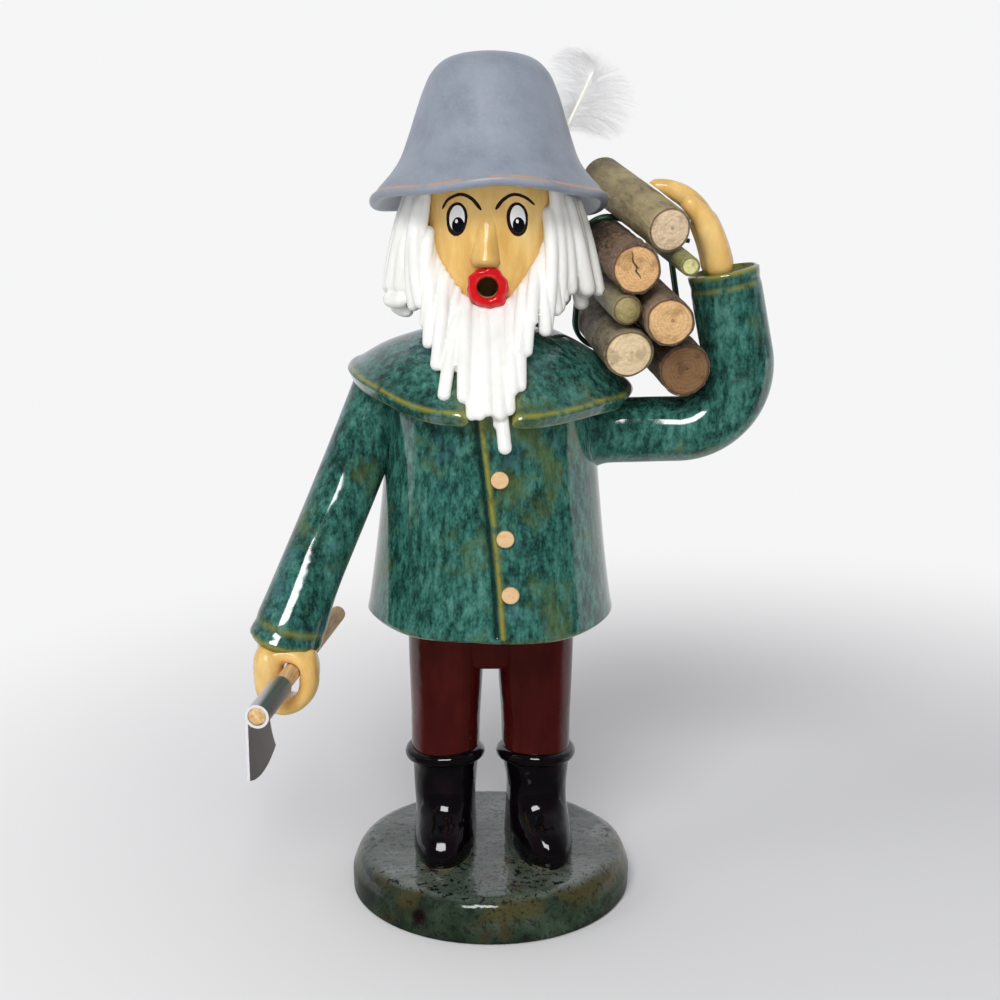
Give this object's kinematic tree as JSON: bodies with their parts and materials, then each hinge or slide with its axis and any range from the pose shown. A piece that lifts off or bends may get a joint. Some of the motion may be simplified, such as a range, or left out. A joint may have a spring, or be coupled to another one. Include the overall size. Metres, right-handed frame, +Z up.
{
  "type": "incense smoker figure",
  "caption": "Glazed clay woodcutter with a lift-off hollow jacket over an incense cone, an open mouth that lets the smoke out, an axe in one hand and tied firewood on the other arm.",
  "frame": {"origin": "middle of the plinth's flat underside, on the surface that the figure stands on", "axes": "+Z up; the figure faces -Y, so its own left arm with the wood is at +X and its right hand with the axe at -X"},
  "size_m": [0.1785, 0.1343, 0.3004],
  "materials": {
    "base_glaze": "glossy, mottled grey green",
    "boot_glaze": "glossy black",
    "trouser_glaze": "glossy red brown",
    "jacket_glaze": "glossy, mottled green, olive at the edges",
    "skin_glaze": "glossy ochre",
    "lip_glaze": "glossy red",
    "hair_glaze": "glossy white",
    "hat_glaze": "glossy slate blue",
    "bare_clay": "unglazed",
    "incense": "matt pressed powder",
    "dowel_wood": "bare",
    "bark": "bark with sawn ends",
    "coated_wire": "green plastic coat",
    "sheet_metal": "dull rolled sheet",
    "quill": "horn",
    "down": "soft white down"
  },
  "bodies": {
    "lower_figure": {"base_plinth": "base_glaze", "boot_left": "boot_glaze", "boot_right": "boot_glaze", "boot_cuff_left": "boot_glaze", "boot_cuff_right": "boot_glaze", "trouser_leg_left": "trouser_glaze", "trouser_leg_right": "trouser_glaze", "trouser_hip": "trouser_glaze", "burner_plate": "bare_clay"},
    "incense_cone": {"incense_cone": "incense"},
    "upper_figure": {"jacket": "jacket_glaze", "collar": "jacket_glaze", "button_top": "dowel_wood", "button_middle": "dowel_wood", "button_bottom": "dowel_wood", "sleeve_right": "jacket_glaze", "sleeve_left": "jacket_glaze", "hand_right": "skin_glaze", "hand_left": "skin_glaze", "head": "skin_glaze", "nose": "skin_glaze", "lips": "lip_glaze", "beard": "hair_glaze", "hair_left": "hair_glaze", "hair_right": "hair_glaze", "hair_back": "hair_glaze", "hat": "hat_glaze", "feather_quill": "quill", "feather_vane": "down"},
    "axe": {"axe_handle": "dowel_wood", "axe_blade": "sheet_metal"},
    "wood_bundle": {"log_1": "bark", "log_2": "bark", "log_3": "bark", "log_4": "bark", "log_5": "bark", "twig_1": "bark", "twig_2": "bark", "binding_wire": "coated_wire"}
  },
  "joints": [
    {"name": "upper_lift", "type": "slide", "parent": "lower_figure", "child": "upper_figure", "axis": [0, 0, 1], "range_m": [0, 0.06]},
    {"name": "cone_lift", "type": "slide", "parent": "lower_figure", "child": "incense_cone", "axis": [0, 0, 1], "range_m": [0, 0.03]},
    {"name": "axe_turn", "type": "hinge", "parent": "upper_figure", "child": "axe", "pos_m": [-0.0721, -0.0828, 0.0954], "axis": [-0.1387, -0.9903, -0.0064], "continuous": true},
    {"name": "bundle_draw", "type": "slide", "parent": "upper_figure", "child": "wood_bundle", "axis": [-0.1204, 0.9886, 0.0903], "range_m": [0, 0.06]}
  ]
}
